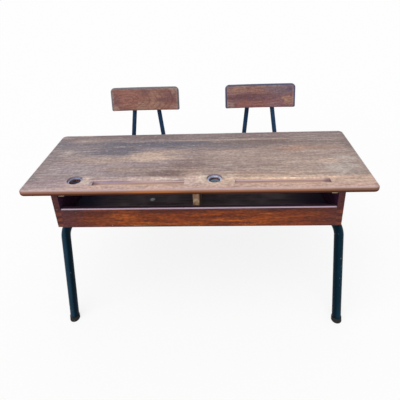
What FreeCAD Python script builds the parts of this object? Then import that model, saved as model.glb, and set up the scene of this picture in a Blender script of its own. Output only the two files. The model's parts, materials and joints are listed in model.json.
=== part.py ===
import FreeCAD, Part
import math
import os

# A two-place school desk with attached seats. Lengths are in millimetres and angles in degrees.
# +X runs to the right along the front edge of the top, +Y from the front to the seats, +Z up.
# The model is laid out from the top's front edge, and moved at the end so that its origin lies
# on the floor, under the middle of the whole desk.

# Top: one panel glued up from four planks, sloping down towards the seats
top_width = 1214.0
top_depth = 438.0
top_thickness = 22.0
top_slope_deg = 3.6
top_front_height = 702.0
top_corner_radius = 20.0
top_edge_radius = 8.0
front_plank_depth = 100.0
rear_plank_depth = 72.0

# Writing places: one inkwell and one pen groove for each pupil
place_spacing = 495.0
inkwell_inset = 177.5
inkwell_setback = 69.0
groove_lead = 230.5
groove_setback = 46.0
groove_length = 321.0
groove_width = 26.0
groove_depth = 7.0
groove_floor_radius = 5.0

# Inkwell cup and its stepped hole
cup_bore_radius = 20.0
cup_wall = 3.0
cup_height = 38.0
cup_floor = 3.5
cup_rim_radius = 1.2
cup_foot_radius = 2.5
flange_reach = 4.2
flange_thickness = 3.5
flange_sink = 5.5
cup_clearance = 0.5

# Book box under the top
box_side_setback = 106.0
box_front_setback = 16.0
box_rear_setback = 25.0
panel_thickness = 22.0
slot_height = 66.0
front_board_height = 76.5
lip_radius = 6.0
finger_pairs = 3
floor_thickness = 9.0
floor_inset = 9.0
divider_thickness = 22.0
divider_rear_inset = 10.0
cleat_width = 20.0
cleat_height = 15.5
cleat_end_inset = 8.0

# Thick tubes: legs, cross tubes and bearers
leg_tube_radius = 18.0
leg_tube_wall = 2.0
leg_bend_radius = 115.0
leg_stub = 12.0
leg_lean_deg = 11.4
leg_splay_deg = 2.75
front_leg_outset = 32.0
front_cross_setback = 136.0
rear_cross_inset = 30.0
seat_cross_inset = 102.0
seat_cross_overhang = 24.0
bearer_spacing = 220.0
bearer_drop_deg = 58.0
bearer_bend_radius = 90.0
bearer_lead = 18.0
bearer_tail = 40.0
weld_gap = 0.2

# Thin tubes: the rails that carry the seats and the backrests
rail_radius = 11.0
rail_wall = 1.5
rail_bend_radius = 50.0
rail_low_spacing = 192.0
rail_high_spacing = 113.0
rail_front_inset = 12.0
rail_top_reach = 42.0
rail_gap = 0.3

# Seats
seat_spacing = 585.0
seat_height = 385.0
seat_width = 350.0
seat_depth = 300.0
seat_rear_gap = 1.0
seat_thickness = 14.0
seat_sag = 8.0
seat_corner_radius = 45.0
seat_edge_radius = 5.0

# Backrests
backrest_width = 350.0
backrest_height = 120.0
backrest_thickness = 16.0
backrest_sag = 8.0
backrest_place = 775.0
backrest_middle_height = 697.4
backrest_recline_deg = 14.0
backrest_upper_radius = 21.0
backrest_lower_radius = 8.0
backrest_edge_radius = 7.0

# Feet
foot_height = 18.0
foot_wall = 2.0
foot_flare = 0.8
foot_floor = 6.0
foot_clearance = 0.1

# Round-head screws, tube saddles and tube plugs
screw_head_radius = 4.0
screw_head_height = 2.4
screw_shank_radius = 2.0
screw_clearance = 0.15
screw_bite = 7.0
saddle_width = 28.0
saddle_thickness = 2.0
saddle_tab = 18.0
plug_head = 3.0
plug_length = 12.0
plug_clearance = 0.1

# Places along a piece, as shares of its length
seat_screw_shares = (0.18, 0.74)
backrest_screw_shares = (-0.18, 0.18)
side_screw_shares = (0.12, 0.38, 0.64, 0.9)
front_screw_shares = (-0.3, -0.1, 0.1, 0.3)
divider_screw_shares = (0.15, 0.5, 0.85)
front_saddle_share = 0.86
rear_saddle_share = 0.75
fillet_wall_share = 0.46
plug_round_share = 0.8

# Cuts run past the faces that they open by this much
overrun = 5.0

SIDES = (("left", -1), ("right", 1))
V = FreeCAD.Vector
ALONG_X = V(1, 0, 0)
ALONG_Y = V(0, 1, 0)
UP = V(0, 0, 1)

# Levels and places in the frame of the top: y runs along the top from its front edge, z up from its face
under_top = -top_thickness
lip_level = under_top - slot_height
box_bottom = lip_level - front_board_height
floor_bottom = box_bottom - floor_thickness
box_half = top_width / 2 - box_side_setback
box_inner_half = box_half - panel_thickness
box_front = box_front_setback
box_rear = top_depth - box_rear_setback
board_back = box_front + panel_thickness
front_cross_level = floor_bottom - weld_gap - leg_tube_radius
front_leg_spacing = 2 * (box_half + front_leg_outset)
cup_radius = cup_bore_radius + cup_wall
flange_radius = cup_radius + flange_reach
flange_seat = -(flange_sink + flange_thickness)
top_place = FreeCAD.Placement(V(0, 0, top_front_height), FreeCAD.Rotation(ALONG_X, -top_slope_deg))


def block(x_range, y_range, z_range):
    """A box between the given limits."""
    corner = V(x_range[0], y_range[0], z_range[0])
    spans = [limits[1] - limits[0] for limits in (x_range, y_range, z_range)]
    return Part.makeBox(*spans, corner)


def rod(start, end, radius):
    """A round bar from one point to another."""
    return Part.makeCylinder(radius, (end - start).Length, start, end - start)


def limited(radius, wall):
    """A rounding radius, limited by the wall that it rounds."""
    return min(radius, fillet_wall_share * wall)


def arc_radius(width, sag):
    """Radius of an arc that sags by the given amount over the given width."""
    return (width ** 2 / 4 + sag ** 2) / (2 * sag)


def arc_fall(offset, radius):
    """How far an arc falls away at the given offset from its middle."""
    return radius - math.sqrt(radius ** 2 - offset ** 2)


def rounded_outline(width, height, low_radius, high_radius):
    """A flat face in XY, centred, with rounded corners at its low and high edges."""
    corners = ((1, -1, low_radius), (1, 1, high_radius), (-1, 1, high_radius), (-1, -1, low_radius))
    arcs = []
    for turn, (across, along, radius) in enumerate(corners):
        centre = V(across * (width / 2 - radius), along * (height / 2 - radius), 0)
        angles = [math.radians(90 * turn - 90 + step) for step in (0, 45, 90)]
        arcs.append([centre + V(math.cos(a), math.sin(a), 0) * radius for a in angles])
    edges = []
    for arc, following in zip(arcs, arcs[1:] + arcs[:1]):
        edges.append(Part.Arc(*arc).toShape())
        edges.append(Part.LineSegment(arc[-1], following[0]).toShape())
    return Part.Face(Part.Wire(edges))


def bent_path(points, bend_radius):
    """Straight runs through the points, joined by tangent arcs."""
    edges = []
    start = points[0]
    for before, corner, after in zip(points, points[1:], points[2:]):
        backward = (before - corner).normalize()
        forward = (after - corner).normalize()
        half_turn = (math.pi - backward.getAngle(forward)) / 2
        setback = bend_radius * math.tan(half_turn)
        inside = (backward + forward).normalize()
        middle = corner + inside * (bend_radius / math.cos(half_turn) - bend_radius)
        end = corner + forward * setback
        edges.append(Part.LineSegment(start, corner + backward * setback).toShape())
        edges.append(Part.Arc(corner + backward * setback, middle, end).toShape())
        start = end
    edges.append(Part.LineSegment(start, points[-1]).toShape())
    return Part.Wire(edges)


def tube(points, bend_radius, radius, wall):
    """A hollow tube along straight runs and bends."""
    path = bent_path(points, bend_radius)
    skins = []
    for ring_radius in (radius, radius - wall):
        ring = Part.Wire([Part.makeCircle(ring_radius, points[0], points[1] - points[0])])
        skins.append(path.makePipeShell([ring], True, False))
    return skins[0].cut(skins[1])


def screw(point, direction, length):
    """A round-head screw whose head rests at the point, with its shank along the direction."""
    head_sphere = (screw_head_radius ** 2 + screw_head_height ** 2) / (2 * screw_head_height)
    centre = point + direction * (head_sphere - screw_head_height)
    ball = Part.makeSphere(head_sphere, centre, direction)
    head = ball.common(rod(point - direction * screw_head_height, point, screw_head_radius))
    return head.fuse(rod(point, point + direction * length, screw_shank_radius)).removeSplitter()


def screw_hole(point, direction, length):
    """The clearance hole of a screw."""
    bottom = point + direction * (length + screw_clearance)
    return rod(point - direction * screw_clearance, bottom, screw_shank_radius + screw_clearance)


def drilled(shape, screws):
    """The shape with the holes of all screws that reach it."""
    return shape.cut(Part.makeCompound([screw_hole(*each) for each in screws]))


def on_top(shape):
    """A shape drawn in the frame of the top, moved to its place on the desk."""
    placed = shape.copy()
    placed.Placement = top_place.multiply(placed.Placement)
    return placed


def plug(point, outward, radius, wall):
    """A tube plug: a rounded head against the tube's end and a spigot inside it."""
    outer_end = point + outward * plug_head
    head = rod(point, outer_end, radius)
    rim = [edge for edge in head.Edges if edge.CenterOfMass.distanceToPoint(outer_end) < plug_head / 2]
    head = head.makeFillet(plug_head * plug_round_share, rim)
    spigot = rod(point - outward * plug_length, point, radius - wall - plug_clearance)
    return head.fuse(spigot).removeSplitter()


# Screws in the frame of the top
def cleat_screws():
    """One screw per plank in each cleat, upwards into the top."""
    screws = []
    for _, side in SIDES:
        across = side * (box_inner_half - cleat_width / 2)
        for low, high in plank_ranges():
            low = max(low, box_front + cleat_end_inset)
            high = min(high, box_rear - cleat_end_inset)
            point = V(across, (low + high) / 2, under_top - cleat_height)
            screws.append((point, UP, cleat_height + screw_bite))
    return screws


def floor_screws():
    """Screws upwards through the floor into the side panels, the front board and the divider."""
    length = floor_thickness + 2 * screw_bite
    side_middle = box_half - panel_thickness / 2
    points = []
    for _, side in SIDES:
        for share in side_screw_shares:
            points.append((side * side_middle, box_front + share * (box_rear - box_front)))
    for share in front_screw_shares:
        points.append((share * 2 * box_half, (box_front + floor_inset + board_back) / 2))
    divider_front, divider_rear = divider_range()
    for share in divider_screw_shares:
        points.append((0, divider_front + share * (divider_rear - divider_front)))
    return [(V(x, y, floor_bottom), UP, length) for x, y in points]


def saddle_places():
    """Middle of each saddle on its tube, and the direction that the tube runs there."""
    straight_half = front_leg_spacing / 2 - bend_setback(1, -1)
    free_run = bearer_run() - bearer_upper_setback() - leg_tube_radius
    rear_setback = front_cross_setback + leg_tube_radius + rear_saddle_share * free_run
    places = []
    for _, side in SIDES:
        across = side * front_saddle_share * straight_half
        places.append((V(across, front_cross_setback, front_cross_level), ALONG_X))
        places.append((V(side * bearer_spacing / 2, rear_setback, front_cross_level), ALONG_Y))
    return places


def saddle_screws():
    """Two screws per saddle, upwards through its tabs into the floor."""
    reach = leg_tube_radius + weld_gap + saddle_thickness + saddle_tab / 2
    screws = []
    for middle, along in saddle_places():
        sideways = along.cross(UP)
        for side in (-1, 1):
            point = middle + sideways * (side * reach)
            point.z = floor_bottom - saddle_thickness
            screws.append((point, UP, saddle_thickness + screw_bite))
    return screws


# The top
def plank_ranges():
    """Front and rear edge of each plank."""
    rear_joint = top_depth - rear_plank_depth
    middle_joint = (front_plank_depth + rear_joint) / 2
    joints = (0, front_plank_depth, middle_joint, rear_joint, top_depth)
    return list(zip(joints, joints[1:]))


def inkwell_places():
    """The first place is set in from the left end of the top, and the second follows it."""
    first = V(inkwell_inset - top_width / 2, inkwell_setback, 0)
    return [first, first + ALONG_X * place_spacing]


def inkwell_hole(place):
    """A stepped hole: a recess for the flange and a through hole for the cup."""
    recess = rod(place + UP * flange_seat, place + UP * overrun, flange_radius + cup_clearance)
    through = rod(place + UP * (under_top - overrun), place + UP * overrun, cup_radius + cup_clearance)
    return recess.fuse(through)


def pen_groove(inkwell):
    """A straight trough beside an inkwell, with rounded lower edges."""
    middle = inkwell.x + groove_lead
    x_range = (middle - groove_length / 2, middle + groove_length / 2)
    y_range = (groove_setback - groove_width / 2, groove_setback + groove_width / 2)
    trough = block(x_range, y_range, (-groove_depth, overrun))
    long_edges = [edge for edge in trough.Edges if edge.Length > groove_width + overrun]
    low_edges = [edge for edge in long_edges if edge.CenterOfMass.z < 0]
    return trough.makeFillet(limited(groove_floor_radius, groove_width), low_edges)


def top_planks():
    """The glued-up panel with its rounded edges, cut into its planks."""
    outline = rounded_outline(top_width, top_depth, top_corner_radius, top_corner_radius)
    outline.translate(V(0, top_depth / 2, under_top))
    panel = outline.extrude(V(0, 0, top_thickness))
    middle = under_top / 2
    rims = [edge for edge in panel.Edges if abs(edge.CenterOfMass.z - middle) > top_thickness / 4]
    panel = panel.makeFillet(limited(top_edge_radius, top_thickness), rims)
    cuts = [cut(place) for place in inkwell_places() for cut in (inkwell_hole, pen_groove)]
    panel = drilled(panel.cut(Part.makeCompound(cuts)), cleat_screws())
    names = ("top_front_plank", "top_middle_plank_front", "top_middle_plank_rear", "top_rear_plank")
    planks = {}
    for name, (low, high) in zip(names, plank_ranges()):
        slab = block((-top_width, top_width), (low, high), (under_top - overrun, overrun))
        planks[name] = panel.common(slab)
    return planks


def inkwell_cup(place):
    """A turned cup with a flange round its mouth."""
    mouth = place - UP * flange_sink
    foot = mouth - UP * cup_height
    body = rod(foot, mouth, cup_radius)
    flange = rod(place + UP * flange_seat, mouth, flange_radius)
    cup = body.fuse(flange).cut(rod(foot + UP * cup_floor, mouth + UP * overrun, cup_bore_radius))
    circles = [edge for edge in cup.Edges if len(edge.Vertexes) == 1]
    mouth_edges = [edge for edge in circles if edge.CenterOfMass.z > mouth.z - flange_thickness / 2]
    cup = cup.makeFillet(limited(cup_rim_radius, flange_thickness), mouth_edges)
    circles = [edge for edge in cup.Edges if len(edge.Vertexes) == 1]
    low_edges = [edge for edge in circles if edge.CenterOfMass.z < foot.z + 2 * cup_floor]
    return cup.makeFillet(limited(cup_foot_radius, cup_wall + cup_floor), low_edges)


# The book box
def finger_cells(owner):
    """Height ranges of the corner fingers: owner 0 is the side panel, owner 1 the front board."""
    height = front_board_height / (2 * finger_pairs)
    levels = [lip_level - (2 * pair + owner) * height for pair in range(finger_pairs)]
    return [(level - height, level) for level in levels]


def corner_cells(side, owner):
    """The fingers of one corner as solids."""
    x_range = sorted((side * box_inner_half, side * box_half))
    y_range = (box_front, board_back)
    return Part.makeCompound([block(x_range, y_range, cell) for cell in finger_cells(owner)])


def side_panel(side):
    x_range = sorted((side * box_inner_half, side * box_half))
    panel = block(x_range, (box_front, box_rear), (box_bottom, under_top))
    return drilled(panel.cut(corner_cells(side, 1)), floor_screws())


def front_board():
    """The low front board, with a rounded upper edge and fingers at both ends."""
    board = block((-box_half, box_half), (box_front, board_back), (box_bottom, lip_level))
    for _, side in SIDES:
        board = board.cut(corner_cells(side, 0))
    long_edges = [edge for edge in board.Edges if edge.Length > box_inner_half]
    lip_edges = [edge for edge in long_edges if edge.CenterOfMass.z > lip_level - lip_radius / 2]
    board = board.makeFillet(limited(lip_radius, panel_thickness), lip_edges)
    return drilled(board, floor_screws())


def compartment_floor():
    x_half = box_half - floor_inset
    floor = block((-x_half, x_half), (box_front + floor_inset, box_rear), (floor_bottom, box_bottom))
    return drilled(floor, floor_screws() + saddle_screws())


def divider_range():
    """Front and rear edge of the divider, which stands against the front board."""
    return board_back, box_rear - divider_rear_inset


def divider():
    x_half = divider_thickness / 2
    board = block((-x_half, x_half), divider_range(), (box_bottom, under_top))
    return drilled(board, floor_screws())


def cleat(side):
    x_range = sorted((side * (box_inner_half - cleat_width), side * box_inner_half))
    y_range = (box_front + cleat_end_inset, box_rear - cleat_end_inset)
    return drilled(block(x_range, y_range, (under_top - cleat_height, under_top)), cleat_screws())


def saddle(middle, along):
    """A strap bent round the underside of a tube, with two tabs flat against the floor."""
    inner = leg_tube_radius + weld_gap
    outer = inner + saddle_thickness
    sideways = along.cross(UP)
    start = middle - along * (saddle_width / 2)
    end = middle + along * (saddle_width / 2)
    hollow_start = start - along * overrun
    hollow_end = end + along * overrun
    rise = floor_bottom - middle.z
    body = rod(start, end, outer)
    for half_width, low, high in ((outer, 0, rise), (outer + saddle_tab, rise - saddle_thickness, rise)):
        body = body.fuse(upright_plate(start, along * saddle_width, sideways * half_width, low, high))
    body = body.cut(rod(hollow_start, hollow_end, inner))
    body = body.cut(upright_plate(hollow_start, hollow_end - hollow_start, sideways * inner, 0, rise))
    above = upright_plate(hollow_start, hollow_end - hollow_start, sideways * outer, rise, rise + outer)
    return body.cut(above).removeSplitter()


def upright_plate(start, length, half_width, low, high):
    """A plate with its lower face around the line from start, lifted between two levels."""
    corner = start - half_width + UP * low
    outline = [corner, corner + half_width * 2, corner + half_width * 2 + length, corner + length, corner]
    return Part.Face(Part.makePolygon(outline)).extrude(UP * (high - low))


# The frame of thick tubes
def front_cross_middle():
    return top_place.multVec(V(0, front_cross_setback, front_cross_level))


def rear_cross_middle():
    return V(0, seat_rear() - rear_cross_inset, cross_level())


def rear_leg_spacing():
    """The rear legs bend down just outside the outermost seat rails."""
    return seat_spacing + rail_low_spacing + 2 * (rail_radius + bend_setback(1, 1))


def leg_slant(side, lean):
    """Direction down a leg per unit of height: splayed outwards, leaning to the front or the rear."""
    splay = math.tan(math.radians(leg_splay_deg))
    return V(side * splay, lean * math.tan(math.radians(leg_lean_deg)), -1)


def bend_setback(side, lean):
    """Distance from a leg's corner to where its bend begins on the cross tube."""
    half_turn = (math.pi - leg_slant(side, lean).getAngle(ALONG_X * -side)) / 2
    return leg_bend_radius * math.tan(half_turn)


def leg_stub_end(cross_middle, spacing, side, lean):
    """Inner end of a leg, where the cross tube joins it."""
    reach = spacing / 2 - bend_setback(side, lean) - leg_stub
    return cross_middle + ALONG_X * (side * reach)


def leg(cross_middle, spacing, side, lean):
    """A bent leg: a short stub along the cross tube, the bend and the slanting leg."""
    corner = cross_middle + ALONG_X * (side * spacing / 2)
    bottom = corner + leg_slant(side, lean) * corner.z
    points = [leg_stub_end(cross_middle, spacing, side, lean), corner, bottom]
    body = tube(points, leg_bend_radius, leg_tube_radius, leg_tube_wall)
    reach = 2 * leg_tube_radius
    x_range = (bottom.x - reach, bottom.x + reach)
    y_range = (bottom.y - reach, bottom.y + reach)
    return body.cut(block(x_range, y_range, (-reach, foot_floor)))


def cross_tube(cross_middle, spacing, lean):
    """The straight tube between the stubs of two legs."""
    ends = [leg_stub_end(cross_middle, spacing, side, lean) for _, side in SIDES]
    return tube(ends, leg_bend_radius, leg_tube_radius, leg_tube_wall)


def foot(cross_middle, spacing, side, lean):
    """A rubber foot, flared downwards, with a socket for the leg and a flat underside."""
    slant = leg_slant(side, lean)
    corner = cross_middle + ALONG_X * (side * spacing / 2)
    ground = corner + slant * corner.z
    upper = ground - slant * foot_height
    lower = ground + slant * foot_height
    top_radius = leg_tube_radius + foot_wall
    low_radius = top_radius + 2 * foot_flare
    flare = Part.makeCone(low_radius, top_radius, (upper - lower).Length, lower, upper - lower)
    socket = rod(lower, upper - slant * overrun, leg_tube_radius + foot_clearance)
    reach = 2 * low_radius
    x_range = (ground.x - reach, ground.x + reach)
    y_range = (ground.y - reach, ground.y + reach)
    solid = flare.cut(block(x_range, y_range, (-reach - foot_height, 0)))
    return solid.cut(socket.cut(block(x_range, y_range, (-reach - foot_height, foot_floor))))


def seat_cross_ends():
    half = (seat_spacing + rail_low_spacing) / 2 + seat_cross_overhang
    place = seat_front() + seat_cross_inset
    return [V(side * half, place, cross_level()) for _, side in SIDES]


def bearer_low_corner():
    """Height and place of a bearer's lower bend, which ends just before the seat cross tube."""
    setback = bearer_bend_radius * math.tan(math.radians(bearer_drop_deg) / 2)
    return V(0, seat_front() + seat_cross_inset - bearer_lead - setback, bearer_level())


def bearer_run():
    """Length of a bearer along the box: from the front cross tube to the line of its drop."""
    way = bearer_low_corner() - front_cross_middle()
    slope = math.radians(top_slope_deg)
    drop = math.radians(bearer_drop_deg)
    return (way.y * math.sin(drop) + way.z * math.cos(drop)) / math.sin(drop - slope)


def bearer_upper_setback():
    """Distance from a bearer's upper corner to where its bend begins."""
    return bearer_bend_radius * math.tan(math.radians(bearer_drop_deg - top_slope_deg) / 2)


def bearer_points(side):
    """From the front cross tube along the box, down, and level under the seats."""
    across = ALONG_X * (side * bearer_spacing / 2)
    slope = math.radians(top_slope_deg)
    start = front_cross_middle() + across
    turn = start + V(0, math.cos(slope), -math.sin(slope)) * bearer_run()
    rear = rear_cross_middle().y + bearer_tail
    return [start, turn, bearer_low_corner() + across, V(0, rear, bearer_level()) + across]


def bearer(side):
    """A bearer, its front end shaped to the front cross tube."""
    points = bearer_points(side)
    body = tube(points, bearer_bend_radius, leg_tube_radius, leg_tube_wall)
    reach = ALONG_X * (2 * leg_tube_radius)
    return body.cut(rod(points[0] - reach, points[0] + reach, leg_tube_radius + weld_gap))


# Levels and places of the seats
def rail_level():
    """Height of the rails' axes, under the hollow seats."""
    rise = arc_fall(rail_low_spacing / 2, arc_radius(seat_width, seat_sag))
    return seat_height - seat_thickness + rise - rail_gap - rail_radius


def cross_level():
    return rail_level() - rail_radius - weld_gap - leg_tube_radius


def bearer_level():
    return cross_level() - 2 * leg_tube_radius - weld_gap


def seat_rear():
    """The rear edge of the seats, just before the rails bend up."""
    _, bend, upper = rail_corners(1, 1)
    half_turn = ALONG_Y.getAngle(upper - bend) / 2
    return bend.y - rail_bend_radius * math.tan(half_turn) - seat_rear_gap


def seat_front():
    return seat_rear() - seat_depth


# The seats
def backrest_axes():
    """Directions up along a backrest and out of its rear face."""
    recline = math.radians(backrest_recline_deg)
    return V(0, math.sin(recline), math.cos(recline)), V(0, math.cos(recline), -math.sin(recline))


def rail_offset():
    """Distance from a backrest's middle plane to the axis of the rails behind it."""
    fall = arc_fall(rail_high_spacing / 2, arc_radius(backrest_width, backrest_sag))
    return backrest_thickness / 2 - fall + rail_gap + rail_radius


def rail_corners(seat_side, rail_side):
    """Middle behind the backrest, bend and upper end of a rail."""
    up, rearward = backrest_axes()
    middle_x = seat_side * seat_spacing / 2
    behind = V(middle_x, backrest_place, backrest_middle_height) + rearward * rail_offset()
    behind = behind + ALONG_X * (rail_side * rail_high_spacing / 2)
    bend = behind - up * ((behind.z - rail_level()) / up.z)
    bend.x = middle_x + rail_side * rail_low_spacing / 2
    climb = (behind - bend).normalize()
    return behind, bend, behind + climb * rail_top_reach


def rail_points(seat_side, rail_side):
    """Front end, bend and upper end of a rail."""
    _, bend, upper = rail_corners(seat_side, rail_side)
    front = V(bend.x, seat_front() + rail_front_inset, rail_level())
    return [front, bend, upper]


def seat_screws(seat_side, rail_side):
    """Screws upwards through a rail into the seat."""
    across = rail_points(seat_side, rail_side)[0].x
    head_level = rail_level() - rail_radius - rail_gap
    length = 2 * rail_radius + 2 * rail_gap + screw_bite
    places = [seat_front() + share * seat_depth for share in seat_screw_shares]
    return [(V(across, place, head_level), UP, length) for place in places]


def backrest_screws(seat_side, rail_side):
    """Screws forwards through a rail into the backrest."""
    _, rearward = backrest_axes()
    middle, bend, upper = rail_corners(seat_side, rail_side)
    climb = (upper - bend).normalize()
    length = 2 * rail_radius + 2 * rail_gap + screw_bite
    head_middle = middle + rearward * (rail_radius + rail_gap)
    points = [head_middle + climb * (share * backrest_height) for share in backrest_screw_shares]
    return [(point, rearward * -1, length) for point in points]


def seat_rail(seat_side, rail_side):
    body = tube(rail_points(seat_side, rail_side), rail_bend_radius, rail_radius, rail_wall)
    return drilled(body, seat_screws(seat_side, rail_side) + backrest_screws(seat_side, rail_side))


def bent_board(width, depth, thickness, sag, low_radius, high_radius, edge_radius):
    """A board in XY, hollowed upwards across its width, with rounded corners and edges.

    Its middle plane passes through the origin at the middle of its width.
    """
    radius = arc_radius(width, sag)
    axis_start = V(0, -depth, radius)
    axis_end = V(0, depth, radius)
    inner = rod(axis_start, axis_end, radius - thickness / 2)
    shell = rod(axis_start, axis_end, radius + thickness / 2).cut(inner)
    outline = rounded_outline(width, depth, low_radius, high_radius)
    outline.translate(V(0, 0, -thickness))
    board = shell.common(outline.extrude(V(0, 0, 2 * thickness + sag)))
    rims = [edge for edge in board.Edges if follows_face(edge, radius, thickness)]
    return board.makeFillet(limited(edge_radius, thickness), rims)


def follows_face(edge, radius, thickness):
    """Whether an edge of a bent board lies on its upper or its lower face."""
    first, last = edge.ParameterRange
    points = [edge.valueAt(first), edge.valueAt((first + last) / 2), edge.valueAt(last)]
    depths = [abs(math.hypot(point.x, point.z - radius) - radius) for point in points]
    return min(depths) > thickness / 4


def seat(seat_side):
    board = bent_board(seat_width, seat_depth, seat_thickness, seat_sag,
                       seat_corner_radius, seat_corner_radius, seat_edge_radius)
    level = seat_height - seat_thickness / 2
    middle = V(seat_side * seat_spacing / 2, seat_front() + seat_depth / 2, level)
    board.Placement = FreeCAD.Placement(middle, FreeCAD.Rotation())
    return drilled(board, seat_screws(seat_side, -1) + seat_screws(seat_side, 1))


def backrest(seat_side):
    """A bent board stood up, hollow towards the sitter and leaning back."""
    board = bent_board(backrest_width, backrest_height, backrest_thickness, backrest_sag,
                       backrest_lower_radius, backrest_upper_radius, backrest_edge_radius)
    middle = V(seat_side * seat_spacing / 2, backrest_place, backrest_middle_height)
    board.Placement = FreeCAD.Placement(middle, FreeCAD.Rotation(ALONG_X, 90 - backrest_recline_deg))
    return drilled(board, backrest_screws(seat_side, -1) + backrest_screws(seat_side, 1))


# The whole desk
def box_nodes():
    """Top, book box and inkwells, moved to their place on the desk."""
    nodes = top_planks()
    for (name, side), place in zip(SIDES, inkwell_places()):
        nodes[name + "_inkwell"] = inkwell_cup(place)
        nodes[name + "_side_panel"] = side_panel(side)
        nodes[name + "_cleat"] = cleat(side)
    nodes["front_board"] = front_board()
    nodes["compartment_floor"] = compartment_floor()
    nodes["divider"] = divider()
    saddles = Part.makeCompound([saddle(*place) for place in saddle_places()])
    nodes["tube_saddles"] = drilled(saddles, saddle_screws())
    for group in (cleat_screws, floor_screws, saddle_screws):
        nodes[group.__name__] = Part.makeCompound([screw(*each) for each in group()])
    return {name: on_top(shape) for name, shape in nodes.items()}


def frame_nodes():
    """Legs, cross tubes, bearers, feet and thick plugs."""
    nodes = {}
    front = ("front", front_cross_middle(), front_leg_spacing, -1)
    rear = ("rear", rear_cross_middle(), rear_leg_spacing(), 1)
    for end, middle, spacing, lean in (front, rear):
        for name, side in SIDES:
            nodes[f"{name}_{end}_leg"] = leg(middle, spacing, side, lean)
            nodes[f"{name}_{end}_foot"] = foot(middle, spacing, side, lean)
        nodes[end + "_cross_tube"] = cross_tube(middle, spacing, lean)
    nodes["seat_cross_tube"] = tube(seat_cross_ends(), leg_bend_radius, leg_tube_radius, leg_tube_wall)
    plugs = []
    for (name, side), end in zip(SIDES, seat_cross_ends()):
        nodes[name + "_bearer"] = bearer(side)
        plugs.append(plug(bearer_points(side)[-1], ALONG_Y, leg_tube_radius, leg_tube_wall))
        plugs.append(plug(end, ALONG_X * side, leg_tube_radius, leg_tube_wall))
    nodes["frame_plugs"] = Part.makeCompound(plugs)
    return nodes


def seat_nodes():
    """Seats, backrests, their rails, screws and thin plugs."""
    nodes = {}
    plugs = []
    seat_fixings = []
    backrest_fixings = []
    for name, seat_side in SIDES:
        nodes[name + "_seat"] = seat(seat_side)
        nodes[name + "_backrest"] = backrest(seat_side)
        for place, rail_side in (("inner", -seat_side), ("outer", seat_side)):
            nodes[f"{name}_seat_{place}_rail"] = seat_rail(seat_side, rail_side)
            front, bend, upper = rail_points(seat_side, rail_side)
            plugs.append(plug(front, ALONG_Y * -1, rail_radius, rail_wall))
            plugs.append(plug(upper, (upper - bend).normalize(), rail_radius, rail_wall))
            seat_fixings += [screw(*each) for each in seat_screws(seat_side, rail_side)]
            backrest_fixings += [screw(*each) for each in backrest_screws(seat_side, rail_side)]
    nodes["rail_plugs"] = Part.makeCompound(plugs)
    nodes["seat_screws"] = Part.makeCompound(seat_fixings)
    nodes["backrest_screws"] = Part.makeCompound(backrest_fixings)
    return nodes


def main():
    os.makedirs("parts", exist_ok=True)
    nodes = {**box_nodes(), **frame_nodes(), **seat_nodes()}
    whole = Part.makeCompound(list(nodes.values())).optimalBoundingBox(False, False)
    shift = V(0, -whole.Center.y, 0)
    for name, shape in nodes.items():
        shape.translate(shift)
        shape.exportStep(f"parts/{name}.step")
        print(f"{name}: {len(shape.Solids)} solid(s), valid {shape.isValid()}, {shape.Volume:.0f} mm3")
    print(f"front edge of the top at y {shift.y:.4f} mm")
    print(f"whole desk {whole.XLength:.2f} x {whole.YLength:.2f} x {whole.ZLength:.2f} mm")


main()
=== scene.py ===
import json
import math

import bpy
import numpy as np
from mathutils import Matrix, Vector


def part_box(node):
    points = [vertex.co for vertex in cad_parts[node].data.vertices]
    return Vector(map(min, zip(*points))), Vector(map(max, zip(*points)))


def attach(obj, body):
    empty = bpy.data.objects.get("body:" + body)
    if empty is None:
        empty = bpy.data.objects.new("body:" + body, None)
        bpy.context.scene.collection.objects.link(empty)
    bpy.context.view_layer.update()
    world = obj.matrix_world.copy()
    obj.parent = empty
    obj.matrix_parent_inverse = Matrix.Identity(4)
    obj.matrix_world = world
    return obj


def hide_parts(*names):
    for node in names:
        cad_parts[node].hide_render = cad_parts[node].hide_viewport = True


# A worn two-place school desk. Lengths are in metres unless a name ends in mm, angles in radians.
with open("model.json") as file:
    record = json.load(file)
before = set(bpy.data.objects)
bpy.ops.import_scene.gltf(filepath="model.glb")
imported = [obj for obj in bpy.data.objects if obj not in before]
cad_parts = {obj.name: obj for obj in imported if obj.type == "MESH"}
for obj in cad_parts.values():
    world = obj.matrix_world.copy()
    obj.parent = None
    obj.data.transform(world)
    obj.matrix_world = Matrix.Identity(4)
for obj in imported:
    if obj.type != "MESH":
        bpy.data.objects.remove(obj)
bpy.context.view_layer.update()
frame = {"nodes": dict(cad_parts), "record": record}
nodes = frame["nodes"]
MM = 0.001

# Angles of the frame
top_slope = math.radians(3.6)
leg_lean = math.radians(11.4)
leg_splay = math.radians(2.75)
backrest_recline = math.radians(14.0)

# Bent boards: width, height, sag across the width and thickness
seat_sizes = (0.350, 0.300, 0.008, 0.014)
backrest_sizes = (0.350, 0.120, 0.008, 0.016)
ply = 0.0023
ring_spacing = 0.013

# Tubes and feet
tube_radius = 0.018
rail_radius = 0.011
foot_radius = 0.020
foot_height = 0.018
foot_sides = 48

# Weld beads: their radius on a seam, the gap that they fill round a contact, their ripples and their points
seam_bead_radius = 0.0017
seam_guide = (0.3, 0.5, 0.8)
tee_lean = 0.6
contact_gap = 0.0026
contact_bead_radius = 0.6 * contact_gap
ripple_length = 0.004
ripple_swell = 0.14
bead_sides = 10
butt_points = 120
contact_points = 90
tee_points = 140

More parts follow.
